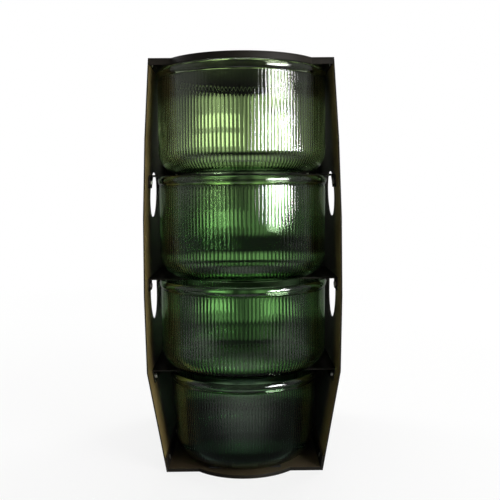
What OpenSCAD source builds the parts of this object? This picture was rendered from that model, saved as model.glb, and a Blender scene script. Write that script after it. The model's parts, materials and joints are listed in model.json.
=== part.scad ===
// Four-lens signal head: round fluted lens drums stacked in a bowed sheet housing that is open
// at the front, with lit opal panels behind them and a hinged service door at the back.
// Front faces -Y, the part stands on z = 0 and is centred on x = 0 and y = 0.

/* [Lens drums] */
// Radius of the rim bead of the three wide drums
bead_r = 96; // [88:0.5:100]
// How far the rim bead stands out from the drum body
bead_step = 1.5; // [0.5:0.5:3]
// Height of the rim bead
bead_h = 9.5; // [6:0.5:14]
// Height of the two upper drums
tall_h = 112.5; // [100:0.5:120]
// Height of the two lower drums
short_h = 101.5; // [92:0.5:108]
// Rim bead radius of the bottom drum
foot_bead_r = 86; // [78:0.5:88]
// Body radius of the bottom drum at its foot
foot_r = 80; // [72:0.5:82]
// Glass thickness of the drum wall
glass_t = 4.5; // [3:0.5:8]
// Glass thickness of the drum base
base_t = 5; // [4:0.5:12]
// Radius of the rounded lower edge of a drum
heel_r = 24; // [16:1:30]
// Radius of the hollow's rounded lower edge
heel_in_r = 19; // [16:1:36]

/* [Housing] */
// Sheet thickness of the walls and the top plate
sheet_t = 1.5; // [1:0.25:2.5]
// Thickness of the bottom plate
floor_t = 4; // [3:0.5:6]
// How far the side walls reach in front of the drum axis
front_reach = 54; // [44:1:60]
// Radius of the bowed front edge of the top plate
top_bow_r = 91.5; // [84:0.5:95]
// Radius of the bowed front edge of the bottom plate
foot_bow_r = 74; // [68:0.5:78]
// Depth of the top plate with the rim under it
lip_h = 7; // [5:0.5:10]
// How far the side walls swell out below the top
belly = 9.8; // [4:0.2:14]
// Height at which the side walls are widest
belly_z = 205; // [180:5:240]
// Height at which the side walls bend in towards the foot
bend_z = 112; // [100:1:124]
// Room between the foot of the bottom drum and the outside of the walls
foot_margin = 6.7; // [6:0.1:10]
// Gap between the top drum and the side walls
side_gap = 0.5; // [0.4:0.1:2]
// Height of the flanges by which the bottom plate is riveted to the walls
floor_flange_h = 12; // [9:0.5:16]
// Radius of the plate rivets
rivet_r = 1.5; // [1:0.1:1.8]

/* [Hand cut-outs] */
// Width of the cut-outs in the side walls
cutout_w = 62; // [54:1:68]
// Height of the cut-outs
cutout_h = 52; // [46:1:56]
// How far the middle of an upper cut-out lies below the drum rim beside it
cutout_drop = 20; // [16:1:24]
// Distance from the front edge of a side wall to its cut-outs
cutout_margin = 46; // [40:1:50]

/* [Drum rails] */
// Thickness of the rail angles
rail_t = 1.5; // [1:0.25:2.5]
// Distance from the middle to the inner edge of a rail
rail_in = 52; // [44:1:58]
// Distance from the front edge of a side wall to its rails
rail_setback = 26; // [4:1:30]
// How far the rails reach behind the cut-outs
rail_back = 26; // [18:1:28]
// Height of the upright flange of a rail
rail_flange_h = 13; // [10:0.5:16]
// Thickness of the rubber strips on the rails and the floor
strip_t = 1; // [0.5:0.25:2]
// Width of the rubber strips
strip_w = 12; // [6:0.5:16]
// Gap between a drum rim and the rail or lip above it
rim_gap = 0.5; // [0.3:0.1:1.5]
// Shank radius of the rail screws
rail_screw_r = 1.5; // [1:0.1:1.8]

/* [Lamp unit] */
// Gap between the drums and the panel rails behind them
panel_gap = 3; // [1:0.5:6]
// Thickness of the opal panels
panel_t = 3; // [2:0.25:4]
// Half width of the opal panels
panel_half = 80; // [72:0.5:82]
// Distance from the back of the opal panels to the lamp tray
glow_depth = 14.5; // [12:0.5:24]
// Height of the bottom end of the lamp tray
tray_z0 = 30; // [26:1:36]
// Distance from the top of the housing to the top end of the lamp tray
tray_top_gap = 14; // [14:1:28]
// Thickness of the circuit boards
board_t = 1.6; // [1:0.2:2.4]
// Half width of the circuit boards
board_half = 70; // [60:1:74]
// Columns of lamps on a board
lamp_columns = 5; // [3:1:7]
// Rows of lamps on a board
lamp_rows = 3; // [2:1:4]
// Side of one lamp
lamp_size = 3.5; // [2:0.5:5]
// Depth of the wiring room between the lamp tray and the back frame
wiring_depth = 38.5; // [36:0.5:56]

/* [Supply] */
// Width of the driver case
driver_w = 60; // [40:1:80]
// Depth of the driver case
driver_d = 26; // [16:1:30]
// Height of the driver case
driver_h = 110; // [70:1:130]
// Width of the terminal block
terminal_w = 72; // [60:1:84]
// Depth of the terminal block
terminal_d = 16; // [12:0.5:20]
// Height of the terminal block
terminal_h = 20; // [14:1:26]
// Ways in the terminal block
terminal_ways = 6; // [4:1:8]
// Radius of the wiring trunk
loom_r = 3; // [2:0.25:4]
// Radius of the wires that leave the trunk
lead_r = 1.8; // [1.2:0.1:2]

/* [Back] */
// Thickness of the back frame and the door
back_t = 2; // [1.5:0.25:3]
// Half width of the service opening
hatch_half = 74; // [68:0.5:76]
// Height of the lower edge of the service opening
hatch_z0 = 40; // [34:1:50]
// Distance from the top of the housing to the upper edge of the service opening
hatch_top_gap = 34; // [28:1:44]
// How far the door laps over the edge of the opening
door_lap = 8; // [7:0.5:9]
// Thickness of the door gasket
gasket_t = 3; // [2:0.5:4]
// Width of the door gasket
gasket_w = 5; // [3:0.5:6]

/* [Hinges and latches] */
// Radius of the hinge knuckles
knuckle_r = 4; // [3.5:0.25:4.5]
// Radius of the hinge pins
pin_r = 2; // [1.5:0.25:2.5]
// Height of one hinge
hinge_h = 42; // [36:1:54]
// Height of the middle of the lower hinge
hinge_low_z = 120; // [100:1:140]
// Height of the middle of the upper hinge
hinge_high_z = 335; // [310:1:350]
// Running clearance on hinge pins and latch shafts
run_gap = 0.05; // [0.02:0.01:0.1]
// Distance of the latch shafts from the middle
latch_x = 64; // [60:0.5:66]
// Height of the lower latch
latch_low_z = 120; // [80:1:160]
// Height of the upper latch
latch_high_z = 335; // [300:1:360]
// Radius of the latch shafts
latch_shaft_r = 4; // [3:0.25:5]
// Radius of the latch knobs
latch_knob_r = 11; // [9:0.5:14]
// Depth of the latch knobs
latch_knob_h = 12; // [8:0.5:16]
// Reach of a latch cam from its shaft
cam_reach = 18; // [15:0.5:19]

/* [Conduit hub] */
// Bore radius of the conduit hub
hub_bore_r = 14; // [10:0.5:15]
// Outer radius of the hub collar
hub_r = 19; // [18:0.5:20]
// Height of the hub over the top plate
hub_h = 10; // [7:0.5:14]
// Thickness of the hub foot
foot_t = 4; // [3:0.5:6]
// Distance between the two hub screws
hub_spacing = 52; // [50:1:64]
// Shank radius of the hub screws
hub_screw_r = 2.5; // [1.5:0.1:3]

/* [Hidden] */
$fn = 96;
// Radial clearance of screws, rivets and plugs in their holes
hole_gap = 0.1;
// Gap between neighbouring pieces that are slid in beside each other
slip_gap = 0.3;
// Gap between a moving edge and what it passes
edge_gap = 0.5;
cut = 1;
// Length of the cuts for rivets and screws through the walls
hole_reach = 20;
// Places of n fasteners spread evenly between two ends
function spread(a, b, n) = [for (i = [0 : n - 1]) a + (b - a) * i / (n - 1)];

// Width of the lamp tray
rail_post_t = 3;
tray_margin = 4.7;
tray_half = panel_half + slip_gap + rail_post_t + tray_margin;
// Half width that the walls and the flanges of the back frame need around the tray
tray_room = tray_half + 2 * sheet_t + slip_gap;

// Heights, built up from the floor
base_4 = floor_t + strip_t;
rim_4 = base_4 + short_h;
rail_3 = rim_4 + rim_gap;
base_3 = rail_3 + rail_t + strip_t;
rim_3 = base_3 + short_h;
rail_2 = rim_3 + rim_gap;
base_2 = rail_2 + rail_t + strip_t;
rim_2 = base_2 + tall_h;
rail_1 = rim_2 + rim_gap;
base_1 = rail_1 + rail_t + strip_t;
rim_1 = base_1 + tall_h;
lip_z = rim_1 + 2 * rim_gap;
body_h = lip_z + lip_h;
wall_top = body_h - sheet_t;

// Widths of the side walls
half_top = max(bead_r + side_gap + sheet_t, tray_room);
half_max = half_top + belly;
bow_r = pow(body_h - belly_z, 2) / (2 * belly);
wall_steps = 4;
function bowed_half(z) = half_max - pow(z - belly_z, 2) / (2 * bow_r);
// Foot width at which the leaning lower walls still clear the lower end of the tray
tray_rise = tray_z0 / bend_z;
tray_foot_half = (tray_room - bowed_half(bend_z) * tray_rise) / (1 - tray_rise);
half_foot = max(foot_r + foot_margin, tray_foot_half);
wall_stations = [for (i = [0 : wall_steps]) bend_z + (body_h - bend_z) * i / wall_steps];
wall_table = concat([[0, half_foot]], [for (z = wall_stations) [z, bowed_half(z)]]);
function wall_half(z) = lookup(z, wall_table);
function wall_inner(z) = wall_half(z) - sheet_t;
function wall_tilt(z) = atan2(wall_half(z + 1) - wall_half(z - 1), 2);

// Depths, measured from the drum axis towards the back
panel_y = bead_r + panel_gap + sheet_t;
tray_y = panel_y + panel_t + glow_depth;
frame_y = tray_y + sheet_t + wiring_depth;
gasket_y = frame_y + back_t;
door_y = gasket_y + gasket_t;
door_back = door_y + back_t;
bush_t = 1;
rear_y = door_back + bush_t + slip_gap + latch_knob_h;
// Place of the drum axis that centres the part on y = 0
axis_y = (bead_r - rear_y) / 2;

// Lamp unit
tray_z1 = body_h - tray_top_gap;
tray_h = tray_z1 - tray_z0;
baffle_t = 1.5;
// Heights between which the four lamp sections lie
section_z = [tray_z1, base_1, base_2, base_3, tray_z0];
screw_head_t = 1.5;
board_screw_r = 1.5;
board_margin = 6;
lamp_margin = 10;
// Tabs that hang the lamp tray on the back frame
tab_mid = 237.5;
tab_spacing = 75;
tab_z = [for (s = [-1, 1]) tab_mid + s * tab_spacing / 2];
tab_h = 20;
tab_reach = 11;
tab_screw_r = 2;
lead_reach = 20;
loom_x = driver_w / 2 + lead_reach;
loom_y = tray_y + sheet_t + loom_r;
driver_rise = 10;
driver_z = (tray_z0 + tray_z1) / 2 + driver_rise;
terminal_rise = 50;
terminal_z = tray_z0 + terminal_rise;
grommet_r = lead_r + 1.4;
earth_r = 3;
earth_inset = 12;
earth_x = earth_inset - tray_half;
earth_rise = 20;
earth_z = tray_z0 + earth_rise;
earth_pad_t = 1;
driver_foot_h = 10;
driver_foot_z = [for (s = [-1, 1]) driver_z + s * (driver_h + driver_foot_h) / 2];
terminal_foot_inset = 5;
terminal_foot_x = [for (s = [-1, 1]) s * (terminal_w / 2 - terminal_foot_inset)];

// Back
hinge_z = [hinge_low_z, hinge_high_z];
latch_z = [latch_low_z, latch_high_z];
hatch_z1 = body_h - hatch_top_gap;
door_half = hatch_half + door_lap;
hinge_x = -(door_half + knuckle_r + edge_gap);
knuckle_h = (hinge_h - 2 * slip_gap) / 3;
leaf_t = 2;
leaf_w = 12;
leaf_screw_r = 1.5;
bush_r = latch_shaft_r + 3;
cam_t = 3;
cam_bore_r = 2.5;
frame_flange_h = 12;
// Heights of the lowest and the highest rivet of the back frame
frame_rivet_low = 60;
frame_rivet_high = 400;
frame_rivets_n = 5;
frame_rivet_z = spread(frame_rivet_low, frame_rivet_high, frame_rivets_n);
frame_leaf_x = hinge_x - knuckle_r - edge_gap;
door_leaf_x = -door_half;
leaf_holes_z = [for (z = hinge_z, s = [-1, 1]) z + s * hinge_h / 3];
frame_leaf_holes = [for (z = leaf_holes_z) [frame_leaf_x - leaf_w / 2, z]];
door_leaf_holes = [for (z = leaf_holes_z) [door_leaf_x + leaf_w / 2, z]];
cam_y = frame_y - edge_gap - cam_t;
hub_y = tray_y + sheet_t + wiring_depth / 2;
plug_flange_t = 3;
rivet_head_t = 0.8;
rivet_head_r = 1.9 * rivet_r;
floor_flange_t = 2;
top_flange_z = (lip_z + wall_top) / 2;
// Distances of the first and the last rivet from the front edge of the walls and from the back frame
top_rivet_front = 14;
top_rivet_back = 28;
floor_rivet_front = 18;
floor_rivet_back = 38;
top_rivet_y = spread(top_rivet_front - front_reach, frame_y - top_rivet_back, 4);
floor_rivet_y = spread(floor_rivet_front - front_reach, frame_y - floor_rivet_back, 3);
floor_rivet_z = floor_t + floor_flange_h / 2;
rail_y0 = rail_setback - front_reach;
cutout_y = cutout_margin + cutout_w / 2 - front_reach;
rail_y1 = cutout_y + cutout_w / 2 + rail_back;
// Distance of the front rail screw from the end of its rail
rail_screw_front = 4;
rail_screw_y = [rail_y0 + rail_screw_front, rail_y1 - rail_back / 2];
rails = [rail_1, rail_2, rail_3];

housing_paint = [0.1, 0.08, 0.06];
glass_green = [0.25, 0.42, 0.2];
zinc = [0.72, 0.73, 0.74];
rubber = [0.12, 0.12, 0.12];

// Moves what is drawn about the drum axis into the part's own frame
module at_axis() {
    translate([0, axis_y, 0]) children();
}

// Draws a shape for the left side (-1) or the right side (1)
module on_side(side) {
    mirror([side < 0 ? 1 : 0, 0, 0]) children();
}

// Extrudes an outline drawn in x and z along the depth from y0 to y1
module along_depth(y0, y1) {
    translate([0, y1, 0]) rotate([90, 0, 0]) linear_extrude(y1 - y0) children();
}

// Puts a shape on the outside of the right wall, with its x axis along the outward normal
module on_wall(y, z) {
    translate([wall_half(z), y, z]) rotate([0, wall_tilt(z), 0]) children();
}

// Outline of a sheet strip that follows the wall between two heights, at a depth inside it
module wall_strip(z0, z1, inset, t) {
    zs = concat([z0], [for (z = wall_stations) if (z > z0 && z < z1) z], [z1]);
    last = len(zs) - 1;
    polygon(concat(
        [for (z = zs) [wall_half(z) - inset, z]],
        [for (i = [0 : last]) [wall_half(zs[last - i]) - inset - t, zs[last - i]]]));
}

// Rivet through a grip, along x, with its outer head on x = 0
module rivet(grip) {
    translate([-grip, 0, 0]) rotate([0, 90, 0]) cylinder(h = grip, r = rivet_r);
    rotate([0, 90, 0]) cylinder(h = rivet_head_t, r = rivet_head_r);
    translate([-grip - rivet_head_t, 0, 0]) rotate([0, 90, 0]) cylinder(h = rivet_head_t, r = rivet_head_r);
}

module rivet_hole() {
    translate([-hole_reach / 2, 0, 0]) rotate([0, 90, 0]) cylinder(h = hole_reach, r = rivet_r + hole_gap);
}

// Pan-head screw along z, with the underside of its head on z = 0 and the shank below
module screw(r, grip) {
    translate([0, 0, -grip]) cylinder(h = grip, r = r);
    difference() {
        cylinder(h = screw_head_t, r = 2 * r);
        translate([-2 * r - cut, -0.2 * r, 0.6 * screw_head_t]) cube([4 * r + 2 * cut, 0.4 * r, cut]);
    }
}

// Side walls

module cutout_upper() {
    end_r = cutout_h / 2;
    for (y = [-1, 1])
        translate([0, cutout_y + y * (cutout_w / 2 - end_r), rim_2 - cutout_drop])
            rotate([0, 90, 0]) cylinder(h = 2 * half_max, r = end_r);
    translate([0, cutout_y - cutout_w / 2 + end_r, rim_2 - cutout_drop - end_r])
        cube([2 * half_max, cutout_w - 2 * end_r, cutout_h]);
}

module cutout_lower() {
    end_r = cutout_w / 2;
    low = rim_3 - cutout_h + end_r;
    intersection() {
        translate([0, cutout_y, low]) rotate([0, 90, 0]) cylinder(h = 2 * half_max, r = end_r);
        translate([0, cutout_y - end_r, low - end_r]) cube([2 * half_max, cutout_w, end_r]);
    }
    translate([0, cutout_y - end_r, low]) cube([2 * half_max, cutout_w, rim_3 - low]);
}

module side_wall(side) {
    color(housing_paint) at_axis() on_side(side) difference() {
        along_depth(-front_reach, frame_y + back_t) wall_strip(0, wall_top, 0, sheet_t);
        cutout_upper();
        cutout_lower();
        for (y = top_rivet_y) on_wall(y, top_flange_z) rivet_hole();
        for (y = floor_rivet_y) on_wall(y, floor_rivet_z) rivet_hole();
        for (z = rails, y = rail_screw_y) on_wall(y, z - rail_flange_h / 2) wall_hole(rail_screw_r);
        for (z = frame_rivet_z) on_wall(frame_y - frame_flange_h / 2, z) rivet_hole();
    }
}

module wall_hole(r) {
    translate([-hole_reach / 2, 0, 0]) rotate([0, 90, 0]) cylinder(h = hole_reach, r = r + hole_gap);
}

module side_wall_left() {
    side_wall(-1);
}

module side_wall_right() {
    side_wall(1);
}

// Top and bottom plates

// Plan of a plate with straight sides and a front edge that bows out between two shoulders
module bowed_plan(half, bow) {
    translate([-half, -front_reach]) square([2 * half, front_reach + frame_y + back_t]);
    circle(r = bow);
}

module top_plate() {
    color(housing_paint) at_axis() difference() {
        translate([0, 0, wall_top]) linear_extrude(sheet_t) bowed_plan(half_top, top_bow_r);
        translate([0, hub_y, wall_top - cut]) cylinder(h = sheet_t + 2 * cut, r = hub_bore_r);
        for (side = [-1, 1])
            translate([side * hub_spacing / 2, hub_y, wall_top - cut])
                cylinder(h = sheet_t + 2 * cut, r = hub_screw_r + hole_gap);
    }
}

// Band under the top plate: a bowed front rim between two flanges that are riveted to the walls
module top_rim() {
    rim_half = wall_inner(wall_top) - sheet_t / 2;
    color(housing_paint) at_axis() difference() {
        union() {
            translate([0, 0, lip_z]) linear_extrude(wall_top - lip_z) difference() {
                bowed_plan(rim_half, top_bow_r);
                translate([-half_max, sheet_t - front_reach]) square([2 * half_max, 2 * frame_y]);
                circle(r = top_bow_r - sheet_t);
            }
            for (side = [-1, 1])
                on_side(side) along_depth(-front_reach, frame_y) wall_strip(lip_z, wall_top, sheet_t, sheet_t);
        }
        for (side = [-1, 1], y = top_rivet_y) on_side(side) on_wall(y, top_flange_z) rivet_hole();
    }
}

module bottom_plate() {
    color(housing_paint) at_axis() difference() {
        union() {
            intersection() {
                linear_extrude(floor_t) bowed_plan(half_max, foot_bow_r);
                along_depth(-foot_bow_r, frame_y) polygon([
                    [wall_inner(0), 0], [wall_inner(floor_t), floor_t],
                    [-wall_inner(floor_t), floor_t], [-wall_inner(0), 0]]);
            }
            for (side = [-1, 1])
                on_side(side) along_depth(-front_reach, frame_y)
                    wall_strip(floor_t, floor_t + floor_flange_h, sheet_t, floor_flange_t);
        }
        for (side = [-1, 1], y = floor_rivet_y) on_side(side) on_wall(y, floor_rivet_z) rivet_hole();
        translate([0, hub_y, -cut]) cylinder(h = floor_t + 2 * cut, r = hub_bore_r);
    }
}

module top_rivets() {
    grip = 2 * sheet_t * cos(wall_tilt(top_flange_z));
    color(zinc) at_axis() for (side = [-1, 1], y = top_rivet_y)
        on_side(side) on_wall(y, top_flange_z) rivet(grip);
}

module bottom_rivets() {
    grip = (sheet_t + floor_flange_t) * cos(wall_tilt(floor_rivet_z));
    color(zinc) at_axis() for (side = [-1, 1], y = floor_rivet_y)
        on_side(side) on_wall(y, floor_rivet_z) rivet(grip);
}

// Rails that carry the drums

module rail(side, z) {
    color(housing_paint) at_axis() on_side(side) difference() {
        union() {
            difference() {
                along_depth(rail_y0, rail_y1) wall_strip(z - rail_flange_h, z, sheet_t, rail_t);
                cutout_upper();
                cutout_lower();
            }
            along_depth(rail_y0, rail_y1) polygon([
                [rail_in, z], [wall_inner(z), z], [wall_inner(z + rail_t), z + rail_t], [rail_in, z + rail_t]]);
        }
        for (y = rail_screw_y) on_wall(y, z - rail_flange_h / 2) wall_hole(rail_screw_r);
    }
}

module rail_upper_left() {
    rail(-1, rail_1);
}

module rail_upper_right() {
    rail(1, rail_1);
}

module rail_middle_left() {
    rail(-1, rail_2);
}

module rail_middle_right() {
    rail(1, rail_2);
}

module rail_lower_left() {
    rail(-1, rail_3);
}

module rail_lower_right() {
    rail(1, rail_3);
}

module rail_screws() {
    nut_t = 2.4;
    color(zinc) at_axis() for (side = [-1, 1], z = rails, y = rail_screw_y)
        on_side(side) on_wall(y, z - rail_flange_h / 2) {
            grip = (sheet_t + rail_t) * cos(wall_tilt(z - rail_flange_h / 2));
            rotate([0, 90, 0]) screw(rail_screw_r, grip + nut_t);
            translate([-grip - nut_t, 0, 0]) rotate([0, 90, 0]) cylinder(h = nut_t, r = 2 * rail_screw_r, $fn = 6);
        }
}

// Rubber strips on which the drums above the rails slide
module seat_strips() {
    color(rubber) at_axis() for (side = [-1, 1], z = rails)
        on_side(side) translate([rail_in, rail_y0, z + rail_t]) cube([strip_w, rail_y1 - rail_y0, strip_t]);
}

module floor_strips() {
    color(rubber) at_axis() for (side = [-1, 1])
        on_side(side) translate([rail_in - 2 * strip_w, -front_reach, floor_t])
            cube([strip_w, front_reach + foot_r, strip_t]);
}

// Lens drums

// Outside of the heel, from the base up to the wall
function outer_heel(low_r) = [for (a = [0 : 10 : 90])
    [low_r - heel_r + heel_r * sin(a), heel_r - heel_r * cos(a)]];

// Inside of the heel, from the wall down to the base
function inner_heel(low_r) = [for (a = [90 : -10 : 0])
    [low_r - glass_t - heel_in_r + heel_in_r * sin(a), base_t + heel_in_r - heel_in_r * cos(a)]];

// Drum with a rim bead, a wall that may lean out towards the rim and a rounded heel
module drum(low_r, bead, h, z) {
    top_r = bead - bead_step;
    neck = h - bead_h;
    soft = 1.2;
    color(glass_green, 0.6) at_axis() translate([0, 0, z]) rotate_extrude() polygon(concat(
        [[0, 0]],
        outer_heel(low_r),
        [[top_r, neck - soft], [bead, neck], [bead, h - soft], [bead - soft, h],
            [top_r - glass_t + soft, h], [top_r - glass_t, h - soft]],
        inner_heel(low_r),
        [[0, base_t]]));
}

module lens_drum_1() {
    drum(bead_r - bead_step, bead_r, tall_h, base_1);
}

module lens_drum_2() {
    drum(bead_r - bead_step, bead_r, tall_h, base_2);
}

module lens_drum_3() {
    drum(bead_r - bead_step, bead_r, short_h, base_3);
}

module lens_drum_4() {
    drum(foot_r, foot_bead_r, short_h, base_4);
}

// Opal panels and the lamps behind them

module opal_panel(i) {
    z0 = section_z[i] + slip_gap;
    z1 = section_z[i - 1] - slip_gap;
    color("ivory") at_axis() translate([-panel_half, panel_y, z0]) cube([2 * panel_half, panel_t, z1 - z0]);
}

module opal_panel_1() {
    opal_panel(1);
}

module opal_panel_2() {
    opal_panel(2);
}

module opal_panel_3() {
    opal_panel(3);
}

module opal_panel_4() {
    opal_panel(4);
}

// Upright channel on the front of the tray that grips one edge of the opal panels
module panel_rail(side) {
    lap = 4;
    x0 = panel_half + slip_gap;
    front = panel_y - sheet_t;
    color(housing_paint) at_axis() on_side(side) difference() {
        translate([x0 - lap, front, tray_z0]) cube([lap + rail_post_t, tray_y - front, tray_h]);
        translate([x0 - lap - cut, panel_y, tray_z0 - cut]) cube([lap + cut, panel_t, tray_h + 2 * cut]);
        translate([x0 - lap - cut, panel_y + panel_t + sheet_t, tray_z0 - cut])
            cube([lap + cut, glow_depth, tray_h + 2 * cut]);
    }
}

module panel_rail_left() {
    panel_rail(-1);
}

module panel_rail_right() {
    panel_rail(1);
}

module lamp_tray() {
    color("whitesmoke") at_axis() difference() {
        union() {
            translate([-tray_half, tray_y, tray_z0]) cube([2 * tray_half, sheet_t, tray_h]);
            for (side = [-1, 1]) on_side(side) {
                translate([tray_half - sheet_t, tray_y, tray_z0]) cube([sheet_t, frame_y - tray_y, tray_h]);
                for (z = tab_z)
                    translate([tray_half - sheet_t, frame_y - sheet_t, z - tab_h / 2])
                        cube([tab_reach + sheet_t, sheet_t, tab_h]);
            }
        }
        for (side = [-1, 1], z = tab_z) tab_hole(side, z);
        for (i = [1 : 4]) {
            board_holes(i);
            lead_hole(i, grommet_r);
        }
        for (z = driver_foot_z) back_hole(0, z, board_screw_r);
        for (x = terminal_foot_x) back_hole(x, terminal_z, board_screw_r);
    }
}

module tab_hole(side, z) {
    on_side(side) translate([tray_half + tab_reach / 2, frame_y - 5, z]) rotate([-90, 0, 0])
        cylinder(h = 10, r = tab_screw_r + hole_gap);
}

module back_hole(x, z, r) {
    translate([x, tray_y - 5, z]) rotate([-90, 0, 0]) cylinder(h = 12, r = r + hole_gap);
}

// Middle height of a lamp section
function section_mid(i) = (section_z[i] + section_z[i - 1]) / 2;
function board_h(i) = section_z[i - 1] - section_z[i] - 2 * board_margin;
function board_screw_places(i) = [for (x = [-1, 1], z = [-1, 1])
    [x * (board_half - 5), section_mid(i) + z * (board_h(i) / 2 - 5)]];

module board_holes(i) {
    for (p = board_screw_places(i)) back_hole(p[0], p[1], board_screw_r);
}

module lead_hole(i, r) {
    translate([loom_x, tray_y - 5, section_mid(i)]) rotate([-90, 0, 0]) cylinder(h = 12, r = r);
}

module light_baffles() {
    color("whitesmoke") at_axis() for (i = [1 : 3])
        translate([-panel_half + 4, panel_y + panel_t + slip_gap, section_z[i] - baffle_t / 2])
            cube([2 * panel_half - 8, tray_y - panel_y - panel_t - slip_gap, baffle_t]);
}

module lamp_board(i) {
    color("honeydew") at_axis() difference() {
        translate([-board_half, tray_y - board_t, section_mid(i) - board_h(i) / 2])
            cube([2 * board_half, board_t, board_h(i)]);
        board_holes(i);
    }
}

module lamp_board_1() {
    lamp_board(1);
}

module lamp_board_2() {
    lamp_board(2);
}

module lamp_board_3() {
    lamp_board(3);
}

module lamp_board_4() {
    lamp_board(4);
}

module lamps() {
    pitch_x = 2 * (board_half - lamp_margin) / lamp_columns;
    color("lightyellow") at_axis() for (i = [1 : 4], c = [0 : lamp_columns - 1], r = [0 : lamp_rows - 1]) {
        pitch_z = (board_h(i) - 2 * lamp_margin) / lamp_rows;
        translate([
            (c - (lamp_columns - 1) / 2) * pitch_x - lamp_size / 2,
            tray_y - board_t - 1,
            section_mid(i) + (r - (lamp_rows - 1) / 2) * pitch_z - lamp_size / 2])
            cube([lamp_size, 1, lamp_size]);
    }
}

module board_screws() {
    color(zinc) at_axis() for (i = [1 : 4], p = board_screw_places(i))
        translate([p[0], tray_y - board_t, p[1]]) rotate([90, 0, 0])
            screw(board_screw_r, board_t + sheet_t + 2);
}

// Supply on the back of the tray

module driver() {
    back = tray_y + sheet_t;
    color("silver") at_axis() difference() {
        union() {
            translate([-driver_w / 2, back, driver_z - driver_h / 2]) cube([driver_w, driver_d, driver_h]);
            translate([-driver_w / 2, back, driver_z - driver_h / 2 - driver_foot_h])
                cube([driver_w, sheet_t, driver_h + 2 * driver_foot_h]);
        }
        for (z = driver_foot_z) back_hole(0, z, board_screw_r);
    }
}

module driver_screws() {
    color(zinc) at_axis() for (z = driver_foot_z)
        translate([0, tray_y + 2 * sheet_t, z]) rotate([-90, 0, 0]) screw(board_screw_r, 2 * sheet_t);
}

module terminal_block() {
    back = tray_y + sheet_t;
    pitch = (terminal_w - 4 * terminal_foot_inset) / terminal_ways;
    color("dimgray") at_axis() difference() {
        translate([-terminal_w / 2, back, terminal_z - terminal_h / 2]) cube([terminal_w, terminal_d, terminal_h]);
        for (x = terminal_foot_x) {
            back_hole(x, terminal_z, board_screw_r);
            translate([x, back + sheet_t + 2, terminal_z]) rotate([-90, 0, 0])
                cylinder(h = terminal_d, r = 2 * board_screw_r + 0.5);
        }
        for (i = [0 : terminal_ways - 1])
            translate([(i - (terminal_ways - 1) / 2) * pitch, back + terminal_d / 2, terminal_z])
                rotate([-90, 0, 0]) cylinder(h = terminal_d, r = 2.5);
    }
}

module terminal_screws() {
    back = tray_y + sheet_t;
    pitch = (terminal_w - 4 * terminal_foot_inset) / terminal_ways;
    color(zinc) at_axis() {
        for (x = terminal_foot_x)
            translate([x, back + sheet_t + 2, terminal_z]) rotate([-90, 0, 0])
                screw(board_screw_r, 2 * sheet_t + 2);
        for (i = [0 : terminal_ways - 1])
            translate([(i - (terminal_ways - 1) / 2) * pitch, back + terminal_d / 2, terminal_z])
                rotate([-90, 0, 0]) cylinder(h = terminal_d / 2 - 2, r = 2.5 - hole_gap);
    }
}

// Trunk on the back of the tray, with a lead to each board, to the driver and to the terminals
module wiring_loom() {
    low = section_mid(4);
    top = section_mid(1);
    color("darkred") at_axis() {
        translate([loom_x, loom_y, low - loom_r]) cylinder(h = top - low + 2 * loom_r, r = loom_r);
        for (i = [1 : 4])
            translate([loom_x, tray_y, section_mid(i)]) rotate([-90, 0, 0])
                cylinder(h = loom_y - tray_y, r = lead_r);
        translate([terminal_w / 2, loom_y, terminal_z]) rotate([0, 90, 0])
            cylinder(h = loom_x - terminal_w / 2, r = lead_r);
        for (z = [-1, 1])
            translate([driver_w / 2, loom_y, driver_z + z * driver_h / 4]) rotate([0, 90, 0])
                cylinder(h = loom_x - driver_w / 2, r = lead_r);
    }
}

module loom_grommets() {
    color(rubber) at_axis() for (i = [1 : 4]) difference() {
        translate([loom_x, tray_y, section_mid(i)]) rotate([-90, 0, 0])
            cylinder(h = sheet_t, r = grommet_r - 0.05);
        lead_hole(i, lead_r + 0.05);
    }
}

// Stud welded on the back of the tray
module earth_stud() {
    color("goldenrod") at_axis() translate([earth_x, tray_y + sheet_t, earth_z]) rotate([-90, 0, 0]) {
        cylinder(h = earth_pad_t, r = 1.5 * earth_r);
        cylinder(h = earth_pad_t + 5 * earth_r, r = earth_r);
    }
}

module earth_nut() {
    color("goldenrod") at_axis() translate([earth_x, tray_y + sheet_t + earth_pad_t, earth_z])
        rotate([-90, 0, 0]) difference() {
            cylinder(h = 1.6 * earth_r, r = 2 * earth_r, $fn = 6);
            translate([0, 0, -cut]) cylinder(h = 1.6 * earth_r + 2 * cut, r = earth_r + hole_gap);
        }
}

// Back frame and door

module back_outline() {
    zs = concat([0], wall_stations);
    last = len(zs) - 1;
    heights = [for (z = zs) min(z, wall_top)];
    polygon(concat(
        [for (z = heights) [wall_inner(z), z]],
        [for (i = [0 : last]) [-wall_inner(heights[last - i]), heights[last - i]]]));
}

module back_frame() {
    color(housing_paint) at_axis() difference() {
        union() {
            along_depth(frame_y, frame_y + back_t) back_outline();
            for (side = [-1, 1])
                on_side(side) along_depth(frame_y - frame_flange_h, frame_y)
                    wall_strip(floor_t + floor_flange_h + 2, lip_z - 2, sheet_t, sheet_t);
        }
        translate([-hatch_half, frame_y - cut, hatch_z0])
            cube([2 * hatch_half, back_t + 2 * cut, hatch_z1 - hatch_z0]);
        for (side = [-1, 1], z = tab_z) tab_hole(side, z);
        for (side = [-1, 1], z = frame_rivet_z)
            on_side(side) on_wall(frame_y - frame_flange_h / 2, z) rivet_hole();
        for (p = frame_leaf_holes) frame_hole(p);
    }
}

module frame_rivets() {
    color(zinc) at_axis() for (side = [-1, 1], z = frame_rivet_z)
        on_side(side) on_wall(frame_y - frame_flange_h / 2, z) rivet(2 * sheet_t * cos(wall_tilt(z)));
}

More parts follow.
